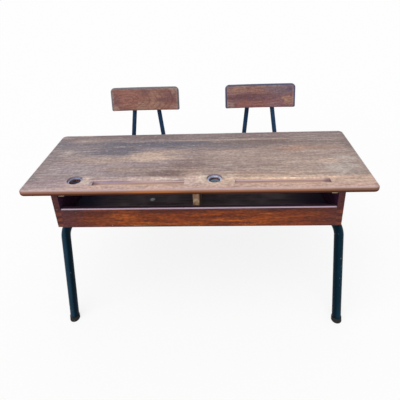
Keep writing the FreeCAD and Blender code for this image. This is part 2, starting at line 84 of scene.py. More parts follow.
# Round-head screws: head, shank, slot with the least share of the dome left under it, and points of the dome
head_radius = 0.004
head_height = 0.0024
shank_radius = 0.002
shank_sides = 20
shank_overlap = 0.0004
point_length = 0.001
slot_half = 0.0005
slot_depth = 0.0013
slot_floor = 0.3
slot_guide = (0.31, 0.52, 0.79)
slot_turn = 1.9
half_chords = 8
chord_points = 15
screw_reach = 0.012

# Camera on the teacher's side: the lens axis meets the picture above its middle
picture_pixels = 400
focal_pixels = 378.41
axis_row = 135.14
sensor_mm = 36.0
camera_place = (0.0895, -1.4116, 1.4685)
camera_yaw = math.radians(-3.549)
camera_pitch = math.radians(29.103)
camera_roll = math.radians(2.915)

# Light: an even sky and one broad soft lamp, together about 1 on a level surface
sky_level = 0.62
lamp_level = 0.42
lamp_spread = math.radians(70.0)
lamp_from = np.array((-0.35, -0.75, 1.0))
floor_half = 20.0
floor_whiteness = 0.8

# Worn places: how far a fraying mask pushes their borders, and half depths that go through the boards
fray_reach = 0.44
through_plank_mm = 300
through_plywood_mm = 90


def linear(code):
    """An sRGB hex value as linear red, green, blue and alpha."""
    srgb = np.array([int(code[i:i + 2], 16) for i in (1, 3, 5)]) / 255
    rgb = np.where(srgb <= 0.04045, srgb / 12.92, ((srgb + 0.055) / 1.055) ** 2.4)
    return (*rgb.tolist(), 1.0)


def metres(lengths_mm):
    """Lengths in millimetres as metres."""
    return [length * MM for length in lengths_mm]


def add(tree, kind, inputs=None, **settings):
    """Adds a shader node, sets its properties, and sets or links its inputs."""
    node = tree.nodes.new("ShaderNode" + kind)
    for name, value in settings.items():
        setattr(node, name, value)
    for key, value in (inputs or {}).items():
        if isinstance(value, bpy.types.NodeSocket):
            tree.links.new(value, node.inputs[key])
        else:
            node.inputs[key].default_value = value
    return node


# Patterns that the materials share; a mask runs from 0 to its strength
def start(name):
    """A new empty material, its node tree and the place on the object."""
    material = bpy.data.materials.new(name)
    material.use_nodes = True
    tree = material.node_tree
    tree.nodes.clear()
    return material, tree, add(tree, "TexCoord").outputs["Object"]


def from_front_edge(tree, place):
    """The place in the frame of the top: X along its front edge, Y back from it, Z up from its surface."""
    low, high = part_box("top_front_plank")
    edge = {"Vector": place, "Location": (0, low.y, high.z), "Rotation": (-top_slope, 0, 0)}
    return add(tree, "Mapping", edge, vector_type="TEXTURE").outputs[0]


def streaks(tree, place, sizes_mm, seed, low, high, strength=1.0, detail=3.0):
    """A mask of noise drawn out to the given sizes along X, Y and Z, rising from low to high."""
    shift = (seed * 1.7, seed * 2.3, seed * 0.9)
    sizes = {"Vector": place, "Location": shift, "Scale": metres(sizes_mm)}
    drawn = add(tree, "Mapping", sizes, vector_type="TEXTURE")
    noise = add(tree, "TexNoise", {"Vector": drawn.outputs[0], "Scale": 1.0, "Detail": detail})
    rise = {"Value": noise.outputs[0], "From Min": low, "From Max": high, "To Max": strength}
    return add(tree, "MapRange", rise, interpolation_type="SMOOTHSTEP").outputs[0]


def with_grain(width_mm, length_mm, grain_axis):
    """Sizes of a streak that is long along the grain."""
    sizes = [width_mm] * 3
    sizes[grain_axis] = length_mm
    return sizes


def wavering(tree, place, size_mm, reach_mm, seed):
    """The place pushed about by slow noise, so that straight patterns waver."""
    shifted = add(tree, "Mapping", {"Vector": place, "Location": (seed, seed, seed)}, vector_type="TEXTURE")
    slow = {"Vector": shifted.outputs[0], "Scale": 1 / (size_mm * MM), "Detail": 2.0}
    noise = add(tree, "TexNoise", slow).outputs["Color"]
    centred = add(tree, "VectorMath", {0: noise, 1: (0.5, 0.5, 0.5)}, operation="SUBTRACT")
    push = add(tree, "VectorMath", {0: centred.outputs[0], 1: metres(reach_mm)}, operation="MULTIPLY")
    return add(tree, "VectorMath", {0: place, 1: push.outputs[0]}, operation="ADD").outputs[0]


def fading(tree, place, centre_mm, half_sizes_mm):
    """A value that falls from 1 at the centre to 0 at the given half sizes."""
    reach = {"Vector": place, "Location": metres(centre_mm), "Scale": metres(half_sizes_mm)}
    centred = add(tree, "Mapping", reach, vector_type="TEXTURE")
    return add(tree, "TexGradient", {"Vector": centred.outputs[0]}, gradient_type="SPHERICAL").outputs[1]


def spot(tree, place, centre_mm, half_sizes_mm, strength):
    """A mask that is full in its middle and fades to nothing at the given half sizes."""
    rise = {"Value": fading(tree, place, centre_mm, half_sizes_mm), "From Max": 0.7, "To Max": strength}
    return add(tree, "MapRange", rise, interpolation_type="SMOOTHSTEP").outputs[0]


def patch(tree, place, centre_mm, half_sizes_mm, fray, strength):
    """A mask for a worn place, which fades outwards with its border pushed about by the fraying mask."""
    inner = fading(tree, place, centre_mm, half_sizes_mm)
    frayed = add(tree, "Math", {0: inner, 1: fray}, operation="ADD").outputs[0]
    rise = {"Value": frayed, "From Min": 0.5, "From Max": 0.95, "To Max": strength}
    return add(tree, "MapRange", rise, interpolation_type="SMOOTHSTEP").outputs[0]


def along(tree, place, axis, low_mm, high_mm, strength=1.0):
    """A mask that rises from low to high along the X, Y or Z of the place."""
    level = add(tree, "SeparateXYZ", {0: place}).outputs[axis]
    rise = {"Value": level, "From Min": low_mm * MM, "From Max": high_mm * MM, "To Max": strength}
    return add(tree, "MapRange", rise, interpolation_type="SMOOTHSTEP").outputs[0]


def laid_over(tree, base, layers):
    """Colours laid over a base one after the other, each where all the masks listed after it lie.

    A Mix node has its share at input 0, its colours at inputs 6 and 7, and the mixed colour at output 2.
    """
    result = base
    for code, mask, *others in layers:
        for other in others:
            mask = add(tree, "Math", {0: mask, 1: other}, operation="MULTIPLY").outputs[0]
        result = add(tree, "Mix", {0: mask, 6: result, 7: linear(code)}, data_type="RGBA").outputs[2]
    return result


def mottled(tree, colour, place, sizes_mm, seed, spread):
    """The colour made lighter and darker by fleck, by up to the spread.

    The fleck of real boards is about 1 mm wide. It is drawn 5 to 14 mm wide, so that it shows.
    """
    fleck = streaks(tree, place, sizes_mm, seed, 0.34, 0.66, 1.0, 2.0)
    shade = add(tree, "MapRange", {"Value": fleck, "To Min": 1 - spread, "To Max": 1 + spread}).outputs[0]
    product = {0: 1.0, 6: colour, 7: shade}
    return add(tree, "Mix", product, data_type="RGBA", blend_type="MULTIPLY").outputs[2]


def surface(tree, colour, roughness, relief, depth_mm, constants):
    """Ends a material with one principled surface, its relief and the constants of its finish."""
    bump = add(tree, "Bump", {"Height": relief, "Distance": depth_mm * MM})
    inputs = {"Base Color": colour, "Roughness": roughness, "Normal": bump.outputs[0]}
    shader = add(tree, "BsdfPrincipled", inputs | constants)
    add(tree, "OutputMaterial", {"Surface": shader.outputs[0]})


# Worn places of the top, one of them a painted highlight on the front arris: tone, place along and back from
# the front edge, half length, half depth, strength
top_tones = {
    "slate": "#535262", "violet": "#70646b", "brown": "#6e5c57", "tan": "#b59c8e", "bright": "#ccb09e",
    "orange": "#b28a74", "umber": "#684c47", "rear": "#6a585b", "chalk": "#b6aba3", "haze": "#a2939b",
    "front": "#d0ae98", "front_left": "#ad949a", "near": "#c89f91", "bare": "#dfcab8", "stain": "#5d5878",
    "pale": "#d1b5ab",
}
worn_places = (
    ("haze", -460, 140, 240, 90, 0.5), ("front_left", -330, 40, 560, 78, 0.8),
    ("front", -20, 120, 120, 70, 0.4), ("front", 270, 98, 560, 30, 0.6),
    ("bright", -170, 16, 500, 26, 0.55), ("rear", 0, 412, 1100, 60, 0.6), ("rear", -280, 415, 420, 44, 0.9),
    ("umber", -30, 175, 150, 130, 0.35), ("slate", -420, 345, 420, 70, 0.6),
    ("slate", -130, 336, 560, 64, 1.0), ("slate", -355, 285, 210, 86, 0.9),
    ("slate", -250, 262, 110, 40, 0.6), ("slate", -585, 352, 40, 60, 0.6),
    ("brown", 270, 340, 480, 44, 0.85), ("violet", 110, 305, 240, 36, 0.7),
    ("violet", -500, 330, 170, 70, 0.6), ("umber", -130, 106, 150, 40, 0.75),
    ("umber", -30, 165, 110, 44, 0.5), ("umber", 280, 157, 70, 18, 0.5), ("umber", 190, 102, 290, 16, 0.35),
    ("umber", 60, 200, 160, 30, 0.3), ("umber", 330, 345, 170, 30, 0.3), ("tan", -140, 266, 180, 33, 0.8),
    ("bright", -172, 216, 215, 44, 1.0), ("tan", -370, 203, 210, 58, 0.6), ("tan", -460, 380, 150, 40, 0.3),
    ("tan", 110, 369, 400, 9, 0.85), ("tan", 190, 270, 170, 18, 0.65), ("tan", 80, 258, 120, 24, 0.45),
    ("orange", 375, 286, 120, 40, 0.7), ("tan", 250, 200, 420, 70, 0.35),
    ("bright", 390, 176, 130, 16, 0.5), ("orange", 470, 280, 180, 50, 0.35),
    ("chalk", 540, 190, 90, 60, 0.8), ("chalk", 515, 118, 150, 80, 0.65), ("chalk", -521, 275, 34, 36, 0.6),
    ("chalk", -540, 149, 60, 9, 0.6), ("chalk", -425, 130, 60, 14, 0.45),
    ("stain", -335, 128, 40, 30, 0.25), ("bare", 20, 70, 56, 52, 1.0), ("bare", 112, 66, 64, 54, 1.0),
    ("bare", 60, 30, 120, 22, 0.7), ("bare", -388, 62, 46, 46, 0.7), ("front", -24, 70, 60, 60, 0.6),
    ("pale", -14, 46, 60, 80, 0.9), ("tan", -265, 136, 200, 44, 0.5), ("tan", 380, 120, 180, 90, 0.35),
    ("pale", -195, 69, 340, 28, 0.85), ("bare", -100, 66, 110, 24, 0.5), ("front", -190, 28, 330, 26, 0.85),
    ("front", 220, 26, 200, 14, 0.5), ("bright", -185, 247, 160, 36, 0.8),
    ("bright", 495, 180, 100, 36, 0.8), ("umber", -80, 96, 90, 36, 0.6), ("brown", 604, 325, 66, 190, 0.6),
    # The pale place 530 mm left and 8 mm back lies on the front arris: a painted highlight
    ("violet", -604, 82, 70, 40, 0.6), ("tan", -120, 264, 130, 30, 0.6), ("pale", -530, 8, 170, 20, 0.8),
    ("pale", -420, 40, 80, 26, 0.7), ("brown", 575, 104, 80, 36, 0.4), ("haze", -182, 304, 90, 26, 0.5),
    ("violet", -20, 287, 90, 36, 0.5), ("violet", -585, 250, 80, 110, 0.4),
)


def worn_varnished_beech(name, seed):
    """Stained beech planks with the varnish worn through.

    The eye sees grey dirt and tan bare wood in soft patches that fray along the grain, dark and pale streaks,
    a paler front strip, a rubbed pale arris that is also a painted highlight, brown varnish under it with an
    orange place that is partly a painted highlight, and painted shade on the underside of the edge. The
    recesses and grooves are greyer, with painted shade round the inkwell recesses, along the backs of the
    grooves and at their ends. The streaks are drawn 7 to 8 mm wide and the pores between them 3.5 mm, coarser
    than the grain of beech, so that they show from a step away.
    """
    material, tree, place = start(name)
    flat = from_front_edge(tree, place)
    wood = wavering(tree, flat, 150, (46, 13, 6), 3.0)
    fray = streaks(tree, flat, (170, 11, 11), seed + 1, 0.3, 0.7, fray_reach)
    rubbed = add(tree, "MapRange", {"Value": fray, "From Max": fray_reach, "To Min": 0.6}).outputs[0]
    band_strength = 0.5
    bands = streaks(tree, wood, (620, 20, 20), seed, 0.35, 0.65, band_strength)
    dark_grain = streaks(tree, flat, (120, 8, 8), seed + 3, 0.47, 0.68, 0.5)
    pale_grain = streaks(tree, flat, (80, 7, 7), seed + 5, 0.48, 0.68, 0.6)
    pores = streaks(tree, flat, (36, 3.5, 3.5), seed + 6, 0.5, 0.68, 0.45)
    specks = streaks(tree, flat, (22, 7, 7), seed + 7, 0.56, 0.76, 0.4)
    smudges = streaks(tree, flat, (26, 11, 11), seed + 8, 0.45, 0.65, 0.3)
    diagonal = add(tree, "Mapping", {"Vector": flat, "Rotation": (0, 0, 0.7)}, vector_type="TEXTURE")
    scratches = streaks(tree, diagonal.outputs[0], (90, 3, 9), seed + 9, 0.66, 0.73, 0.5)

    # Wood: warmer to the right, greyer and darker towards the back and at the left end
    rightwards = along(tree, flat, "X", -300, 300)
    darker_to_rear = along(tree, flat, "Y", 260, 340, 0.45)
    darker_to_left_end = along(tree, flat, "X", -500, -600, 0.4)
    planks = [
        ("#a48c80", rightwards),
        ("#84706d", bands),
        ("#6c5f63", darker_to_rear),
        ("#75666a", darker_to_left_end),
        ("#6b5654", dark_grain),
        ("#c2aea4", pale_grain),
    ]

    # Wear: the listed places, then the paler front strip, a bare line behind the right groove and fine marks
    wear = []
    for tone, middle, setback, half_length, half_depth, strength in worn_places:
        sizes_mm = (half_length, half_depth, through_plank_mm)
        mask = patch(tree, wood, (middle, setback, 0), sizes_mm, fray, strength)
        wear.append((top_tones[tone], mask))
    front_strip = (along(tree, flat, "Y", 81, 78), along(tree, flat, "X", -20, 140))
    near_edge = (along(tree, flat, "Y", 40, 12, 0.7), along(tree, flat, "X", -520, -300))
    bare_line = patch(tree, wood, (300, 60, 0), (330, 19, through_plank_mm), fray, 1.0)
    wear += [
        (top_tones["front"], *front_strip, rubbed),
        (top_tones["near"], *near_edge, rubbed),
        ("#f4d2b4", bare_line),
        ("#5b4846", dark_grain, fray),
        ("#6d5a58", smudges),
        ("#715c58", pores),
        ("#cdbcb2", specks),
        ("#d2c4bc", scratches),
    ]

    # Edge: rubbed pale at its arris, which is also a painted highlight; brown varnish below it, with an
    # orange place that is partly a painted highlight; painted shade, darkest underneath
    front_rub_and_highlight = along(tree, flat, "Y", 11.5, 7.5, 0.65)
    arris_wear_and_highlight = (along(tree, flat, "Z", -0.1, -0.3), along(tree, flat, "Z", -2.6, -1.4))
    front_arris_wear_and_highlight = (*arris_wear_and_highlight, along(tree, flat, "Y", 12, 9))
    rounding = along(tree, flat, "Z", -0.8, -4.2)
    lower_half = along(tree, flat, "Z", -4.5, -10.0)
    # Painted shade: the downward face of the edge, darkest underneath
    underneath = along(tree, flat, "Z", -8.8, -14.0)
    right_end = along(tree, flat, "X", 250, 550, 0.6)
    left_end = along(tree, flat, "X", -300, -550, 0.5)
    # Partly a painted highlight: a brighter orange place on the rounding of the edge
    orange_varnish_and_highlight = spot(tree, flat, (-140, 0, -9), (125, 40, 30), 0.5)
    edges = [
        ("#c8afb2", front_rub_and_highlight, rubbed),
        ("#9d8386", *front_arris_wear_and_highlight, rubbed),
        ("#a87f68", rounding),
        ("#8f5731", lower_half),
        ("#6a3b24", rounding, bands),
        ("#5f4b40", rounding, right_end),
        ("#7a534b", rounding, left_end),
        ("#b86f35", rounding, orange_varnish_and_highlight),
        ("#401c0f", underneath),
    ]

    # Hollows: the recesses of the inkwells with painted shade round them, and the grooves with their floors,
    # painted shade along their backs and at their ends, and an ink stain
    below_top = along(tree, flat, "Z", -0.8, -1.8)
    sunk = (below_top, along(tree, flat, "Y", 26, 30), along(tree, flat, "Z", -9.5, -9.0))
    groove_floor = (*sunk, along(tree, flat, "Z", -3.5, -6.2))
    groove_back_shade = along(tree, flat, "Y", 44, 53, 0.8)
    left_recess_shade = spot(tree, flat, (-429.5, 69, -4), (75, 75, 75), 0.85)
    right_recess_shade = spot(tree, flat, (65.5, 69, -4), (75, 75, 75), 0.9)
    ink_stain = spot(tree, flat, (-275, 58, -3), (90, 16, 16), 0.9)
    left_groove_end_shade = spot(tree, flat, (-356, 52, -4), (26, 22, 22), 0.45)
    right_groove_end_shade = spot(tree, flat, (452, 50, -4), (26, 22, 22), 0.65)
    hollows = [
        ("#c2aeb8", *sunk),
        ("#8a8492", *sunk, left_recess_shade),
        ("#6e6a80", *sunk, right_recess_shade),
        ("#837fa8", *sunk, ink_stain),
        ("#cba48c", *groove_floor),
        ("#a08a8a", *groove_floor, groove_back_shade),
        ("#8d6552", *groove_floor, dark_grain),
        ("#5d4b58", *sunk, left_groove_end_shade),
        ("#684f5a", *sunk, right_groove_end_shade),
    ]

    colour = laid_over(tree, linear("#958386"), planks + wear)
    colour = mottled(tree, colour, flat, (10, 10, 10), seed + 10, 0.17)
    colour = laid_over(tree, colour, edges + hollows)
    dulled = {"Value": bands, "From Max": band_strength, "To Min": 0.38, "To Max": 0.55}
    roughness = add(tree, "MapRange", dulled).outputs[0]
    relief = add(tree, "Math", {0: dark_grain, 1: pores}, operation="ADD").outputs[0]
    gloss = add(tree, "MapRange", {"Value": rounding, "To Min": 0.5, "To Max": 0.1}).outputs[0]
    surface(tree, colour, roughness, relief, -0.15, {"Specular IOR Level": gloss})
    return material


def red_stained_beech(name, grain_axis, end_tone, inside, seed):
    """Beech stained red-brown under varnish.

    The eye sees an orange-brown core, darker ends and a dark streak under the lip, end grain in the finger
    joints, pale nicks along the lower edge and a dark lip whose arris is rubbed pale and carries a painted
    highlight. Where inside asks, the faces inside the box are darkened purple with painted shade.
    The front board reaches from 90 to 165 mm below the top, and the box is 960 mm wide. The grain is drawn
    5 mm wide, coarser than it is, so that it shows.
    """
    side_face = 480 * MM
    material, tree, place = start(name)
    flat = from_front_edge(tree, place)
    wood = wavering(tree, flat, 110, (20, 5, 9), seed)
    bands = streaks(tree, wood, with_grain(16, 150, grain_axis), seed, 0.38, 0.62)
    glow = streaks(tree, wood, with_grain(16, 150, grain_axis), seed + 6, 0.46, 0.66, 0.75)
    grain = streaks(tree, wood, with_grain(5, 90, grain_axis), seed + 2, 0.46, 0.66, 0.8)
    dots = streaks(tree, flat, (9, 5, 4), seed + 4, 0.735, 0.76, 0.8, 1.0)
    sideways = add(tree, "SeparateXYZ", {0: flat}).outputs["X"]
    far = add(tree, "Math", {0: sideways}, operation="ABSOLUTE").outputs[0]
    to_ends = {"Value": far, "From Min": 220 * MM, "From Max": side_face, "To Max": 0.8}
    ends = add(tree, "MapRange", to_ends).outputs[0]
    to_joints = {"Value": far, "From Min": side_face - 1.0 * MM, "From Max": side_face - 0.5 * MM}
    joints = add(tree, "MapRange", to_joints).outputs[0]
    from_joints = {"Value": far, "From Min": side_face - 1.0 * MM, "From Max": side_face - 3.0 * MM}
    between_joints = add(tree, "MapRange", from_joints).outputs[0]
    # Painted shade: the inner faces, inside the box, darkened purple
    inwards = {"Value": far, "From Min": side_face, "From Max": side_face - 0.8 * MM, "To Max": inside}
    shaded_inner_face = add(tree, "MapRange", inwards).outputs[0]
    under_lip = along(tree, flat, "Z", -118, -98, 0.75)
    uneven = add(tree, "MapRange", {"Value": bands, "To Min": 0.3}).outputs[0]
    left_end = along(tree, flat, "X", -370, -470, 0.6)
    right_end = along(tree, flat, "X", 400, 480, 0.5)
    board_face = along(tree, flat, "Y", 17.5, 16.5)
    colour = laid_over(tree, linear("#80380a"), [
        ("#682909", bands),
        ("#9c4e12", glow),
        ("#552017", ends),
        ("#521f0c", grain),
        ("#3d1712", under_lip, uneven),
        ("#4b282e", left_end),
        ("#4a2222", right_end),
        (end_tone, joints, board_face),
        ("#3a1c35", shaded_inner_face),
    ])
    colour = mottled(tree, colour, flat, (14, 9, 5), seed + 8, 0.28)
    low_edge = along(tree, flat, "Z", -148, -163)
    mostly_low = add(tree, "MapRange", {"Value": low_edge, "To Min": 0.15}).outputs[0]
    lip = along(tree, flat, "Z", -93, -90)
    # Painted highlight: the lip's arris, rubbed pale and lit pale as well
    arris_wear_and_highlight = (along(tree, flat, "Z", -90.4, -89.4), along(tree, flat, "Y", 23.5, 21.5))
    underneath = along(tree, flat, "Z", -161.5, -164.5, 0.6)
    colour = laid_over(tree, colour, [
        ("#d0a98c", dots, mostly_low),
        ("#33222b", lip, between_joints),
        ("#bba4b6", *arris_wear_and_highlight, between_joints),
        ("#2a120e", underneath),
    ])
    roughness = add(tree, "MapRange", {"Value": bands, "To Min": 0.34, "To Max": 0.48}).outputs[0]
    surface(tree, colour, roughness, grain, -0.1, {"Specular IOR Level": 0.2})
    return material


def dull_floor_board(name):
    """Raw plywood grey with dust.

    The eye sees faint grain, drawn 5 mm wide so that it shows, and one dried drop of pale paint. Both ends,
    by the side panels, are darkened navy with painted shade.
    """
    material, tree, place = start(name)
    flat = from_front_edge(tree, place)
    grain = streaks(tree, flat, (240, 5, 5), 21, 0.4, 0.68)
    stains = streaks(tree, flat, (120, 70, 70), 23, 0.42, 0.66)
    # Painted shade: navy darkening at both ends of the floor, by the side panels
    left_corner_shade = along(tree, flat, "X", -300, -440, 0.9)
    right_corner_shade = along(tree, flat, "X", 300, 440, 0.9)
    drop = spot(tree, flat, (-184, 181, -165), (14, 14, 14), 1.0)
    drop_middle = spot(tree, flat, (-181, 180, -165), (6, 6, 14), 0.7)
    colour = laid_over(tree, linear("#6e6169"), [
        ("#4a4048", grain),
        ("#7f7176", stains),
        ("#3a3858", left_corner_shade),
        ("#30243f", right_corner_shade),
        ("#f4faff", drop),
        ("#c9dcf2", drop_middle),
    ])
    surface(tree, colour, 0.75, grain, -0.1, {"Specular IOR Level": 0.3})
    return material


def plain_beech(name, grain_axis, tone, seed):
    """Unstained beech.

    The eye sees pale wood scuffed paler in places, with darker grain, drawn 3 mm wide so that it shows.
    """
    material, tree, place = start(name)
    grain = streaks(tree, place, with_grain(3, 90, grain_axis), seed, 0.4, 0.7, 0.7)
    scuffs = streaks(tree, place, (14, 14, 14), seed + 2, 0.5, 0.7)
    colour = laid_over(tree, linear(tone), [("#7c5d47", grain), ("#ab9178", scuffs)])
    surface(tree, colour, 0.6, grain, -0.1, {"Specular IOR Level": 0.3})
    return material


# Marks of the backrests: tone, place sideways and up from the middle, half length, half height, strength
board_tones = {
    "plum": "#5e3d45", "rose": "#9a6658", "tan": "#9e7764", "grey": "#75676f", "pale": "#a38a80",
    "navy": "#4f4a68",
}
board_marks = {
    "left": (
        ("rose", -94, 4, 130, 80, 0.5), ("plum", -149, -4, 60, 56, 0.6), ("plum", 126, 6, 110, 66, 0.5),
        ("tan", 30, -34, 170, 44, 0.7), ("tan", 44, 18, 60, 50, 0.5), ("plum", 4, 34, 44, 26, 0.6),
        ("plum", 71, -6, 44, 24, 0.5), ("pale", 156, 40, 36, 44, 0.5), ("pale", -153, -46, 44, 28, 0.5),
        ("pale", 154, -44, 36, 28, 0.4),
    ),
    "right": (
        ("tan", -114, 30, 130, 34, 0.8), ("tan", -4, 26, 130, 40, 0.5), ("plum", -94, -8, 200, 36, 0.7),
        ("plum", 44, 0, 180, 22, 0.6), ("grey", 107, 34, 150, 56, 0.8), ("navy", 148, 30, 40, 26, 0.8),
        ("tan", 141, -22, 60, 46, 0.9), ("rose", -55, -36, 200, 30, 0.6), ("pale", -154, -43, 50, 44, 0.7),
    ),
}


def figured_plywood(name, middle, turn, sizes, eye, tints, marks, rim_wear_and_reflection_tone, seed):
    """Bent plywood with a figured red-brown face under varnish.

    The eye sees rings cut into long pointed arches, cloudy darker and paler areas, and a worn rim: greyed
    where the edge is rounded over, partly by wear and partly as a painted reflection in the rounding, with a
    pale rubbed line inside it. The edge itself shows the dark plies.
    The rings lie 13 mm apart round the eye. The grain is drawn 5 mm wide, coarser than it is, so that it
    shows.
    """
    width, height, sag, thickness = sizes
    bend_radius = (width ** 2 / 4 + sag ** 2) / (2 * sag)
    material, tree, place = start(name)
    turned = {"Vector": place, "Location": middle, "Rotation": (turn, 0, 0)}
    board = add(tree, "Mapping", turned, vector_type="TEXTURE").outputs[0]
    wood = wavering(tree, board, 70, (34, 18, 8), seed)
    clouds = streaks(tree, wood, (60, 22, 22), seed + 2, 0.38, 0.62, 0.6)
    grain = streaks(tree, wood, (34, 5, 5), seed + 4, 0.46, 0.68, 0.6)
    bloom = streaks(tree, wood, (90, 30, 30), seed + 6, 0.46, 0.72, 0.5)
    worn = streaks(tree, board, (60, 40, 40), seed + 8, 0.3, 0.7, 0.7)
    fray = streaks(tree, board, (26, 9, 9), seed + 10, 0.3, 0.7, fray_reach)

    # Plies on the edge, by the depth in the board: the distance from the axis of the bend less its radius
    axis = add(tree, "VectorMath", {0: board, 1: (0, 0, bend_radius)}, operation="SUBTRACT")
    across = add(tree, "VectorMath", {0: axis.outputs[0], 1: (1, 0, 1)}, operation="MULTIPLY")
    reach = add(tree, "VectorMath", {0: across.outputs[0]}, operation="LENGTH").outputs["Value"]
    depth = add(tree, "Math", {0: reach, 1: bend_radius}, operation="SUBTRACT").outputs[0]
    off_middle = add(tree, "Math", {0: depth}, operation="ABSOLUTE").outputs[0]
    inwards = {"Value": off_middle, "From Min": thickness * 0.36, "From Max": thickness * 0.28}
    edge = add(tree, "MapRange", inwards, interpolation_type="SMOOTHSTEP").outputs[0]
    layer = add(tree, "Math", {0: depth, 1: ply}, operation="PINGPONG").outputs[0]
    plies = add(tree, "MapRange", {"Value": layer, "From Min": ply * 0.3, "From Max": ply * 0.7}).outputs[0]

    # Rings, by the distance from the eye of the figure
    eye_x, eye_y, stretch = eye
    round_eye = {"Vector": wood, "Location": (eye_x, eye_y, 0), "Scale": (stretch, 1, 100)}
    figure = add(tree, "Mapping", round_eye, vector_type="TEXTURE")
    distance = add(tree, "VectorMath", {0: figure.outputs[0]}, operation="LENGTH").outputs["Value"]
    phase = add(tree, "Math", {0: distance, 1: 2 * math.pi / ring_spacing}, operation="MULTIPLY").outputs[0]
    wave = add(tree, "Math", {0: phase}, operation="SINE").outputs[0]
    rings = add(tree, "MapRange", {"Value": wave, "From Min": 0.5}).outputs[0]

    # Rim, by the distance inwards from the outline
    parts = add(tree, "SeparateXYZ", {0: board}).outputs
    aside = add(tree, "Math", {0: parts["X"]}, operation="ABSOLUTE").outputs[0]
    sideways = add(tree, "Math", {0: aside, 1: width / 2}, operation="SUBTRACT").outputs[0]
    upwards = add(tree, "Math", {0: parts["Y"], 1: height / 2}, operation="SUBTRACT").outputs[0]
    inset = add(tree, "Math", {0: sideways, 1: upwards}, operation="MAXIMUM").outputs[0]
    rubbed = add(tree, "MapRange", {"Value": inset, "From Min": -17 * MM, "From Max": -10 * MM}).outputs[0]
    # Painted reflection: the rim tone stands partly for the light mirrored in the rounded-over edge
    rim_wear_and_reflection = add(tree, "MapRange", {"Value": inset, "From Min": -11 * MM, "From Max": -7 * MM}).outputs[0]

    face_tone, cloud_tone, bloom_tone = tints
    layers = [(cloud_tone, clouds), (bloom_tone, bloom)]
    for tone, sideways_mm, up_mm, half_length, half_height, strength in marks:
        sizes_mm = (half_length, half_height, through_plywood_mm)
        mask = patch(tree, wood, (sideways_mm, up_mm, 0), sizes_mm, fray, strength)
        layers.append((board_tones[tone], mask))
    colour = laid_over(tree, linear(face_tone), layers + [
        ("#5c3638", rings, worn),
        ("#68423c", grain),
        ("#b0968a", rubbed, worn),
        (rim_wear_and_reflection_tone, rim_wear_and_reflection),
        ("#4c4043", edge, plies),
    ])
    colour = mottled(tree, colour, board, (9, 7, 9), seed + 12, 0.16)
    roughness = add(tree, "MapRange", {"Value": clouds, "To Min": 0.36, "To Max": 0.5}).outputs[0]
    surface(tree, colour, roughness, grain, -0.08, {"Specular IOR Level": 0.4})
    return material


def chipped_enamel(name, tone, cloud_tone, foot=None):
    """Dark blue enamel on steel tube.

    The eye sees a nearly black gloss, a little uneven, with a few small pale chips that have rust round them
    and come closer together near the floor. The chips are drawn up to 8 mm long, coarser than they are, so
    that they show. Given its foot, a front leg has painted shade on its inner half, a darker blue.
    """
    material, tree, place = start(name)
    cloud = streaks(tree, place, (60, 60, 110), 31, 0.35, 0.65)
    near_floor = along(tree, place, "Z", 300, 0, 0.03)
    flaws = streaks(tree, place, (6, 6, 8), 33, 0.0, 1.0, 1.0, 1.0)
    flaking = add(tree, "Math", {0: flaws, 1: near_floor}, operation="ADD").outputs[0]
    chips = add(tree, "MapRange", {"Value": flaking, "From Min": 0.855, "From Max": 0.88}).outputs[0]
    round_chips = {"Value": flaking, "From Min": 0.82, "From Max": 0.87, "To Max": 0.7}
    rust = add(tree, "MapRange", round_chips).outputs[0]
    peel = streaks(tree, place, (3, 3, 3), 35, 0.3, 0.7)
    layers = [(cloud_tone, cloud)]
    if foot is not None:
        outside = math.copysign(1.0, foot[0])
        splayed = {"Vector": place, "Location": foot, "Rotation": (0, -outside * leg_splay, 0)}
        leg = add(tree, "Mapping", splayed, vector_type="TEXTURE").outputs[0]
        # Painted shade: the inner half of the front leg, away from the light
        layers.append(("#001724", along(tree, leg, "X", -outside * 1, -outside * 10)))
    colour = laid_over(tree, linear(tone), layers + [("#2e2521", rust), ("#8c9296", chips)])
    roughness = add(tree, "MapRange", {"Value": cloud, "To Min": 0.26, "To Max": 0.4}).outputs[0]
    surface(tree, colour, roughness, peel, 0.05, {"Specular IOR Level": 0.04})
    return material


def glazed_stoneware(name, node, glaze_and_reflection, residue_and_glint):
    """Glazed stoneware of an inkwell cup with a bore of 40 mm.

    The eye sees a glossy blue-white glaze whose blue is partly a painted reflection of the sky, its rim
    greyed by fingers, and inside it a brown stain with darker runs over a dried residue of ink that carries a
    painted glint.
    """
    material, tree, place = start(name)
    upright = {"Vector": place, "Location": middle_of(node), "Rotation": (-top_slope, 0, 0)}
    cup = add(tree, "Mapping", upright, vector_type="TEXTURE").outputs[0]
    waves = wavering(tree, cup, 12, (4, 4, 4), 41)
    flat = add(tree, "VectorMath", {0: cup, 1: (1, 1, 0)}, operation="MULTIPLY")
    reach = add(tree, "VectorMath", {0: flat.outputs[0]}, operation="LENGTH").outputs["Value"]
    to_bore = {"Value": reach, "From Min": 20.8 * MM, "From Max": 20.2 * MM}
    inside = add(tree, "MapRange", to_bore).outputs[0]
    inked = (inside, along(tree, waves, "Z", 16.5, 12.5))
    bottom = (inside, along(tree, waves, "Z", 9, 3))
    runs = streaks(tree, cup, (5, 5, 22), 43, 0.4, 0.6)
    grime = streaks(tree, cup, (14, 14, 14), 45, 0.4, 0.65, 0.6)
    # The glaze tone is partly a painted reflection of the sky; the residue tone is partly a painted glint
    colour = laid_over(tree, linear(glaze_and_reflection), [
        ("#686c84", grime),
        ("#85584e", *inked),
        ("#443034", *inked, runs),
        (residue_and_glint, *bottom),
        ("#444d68", *bottom, grime),
    ])
    surface(tree, colour, 0.14, grime, 0.02, {"Coat Weight": 0.3})
    return material


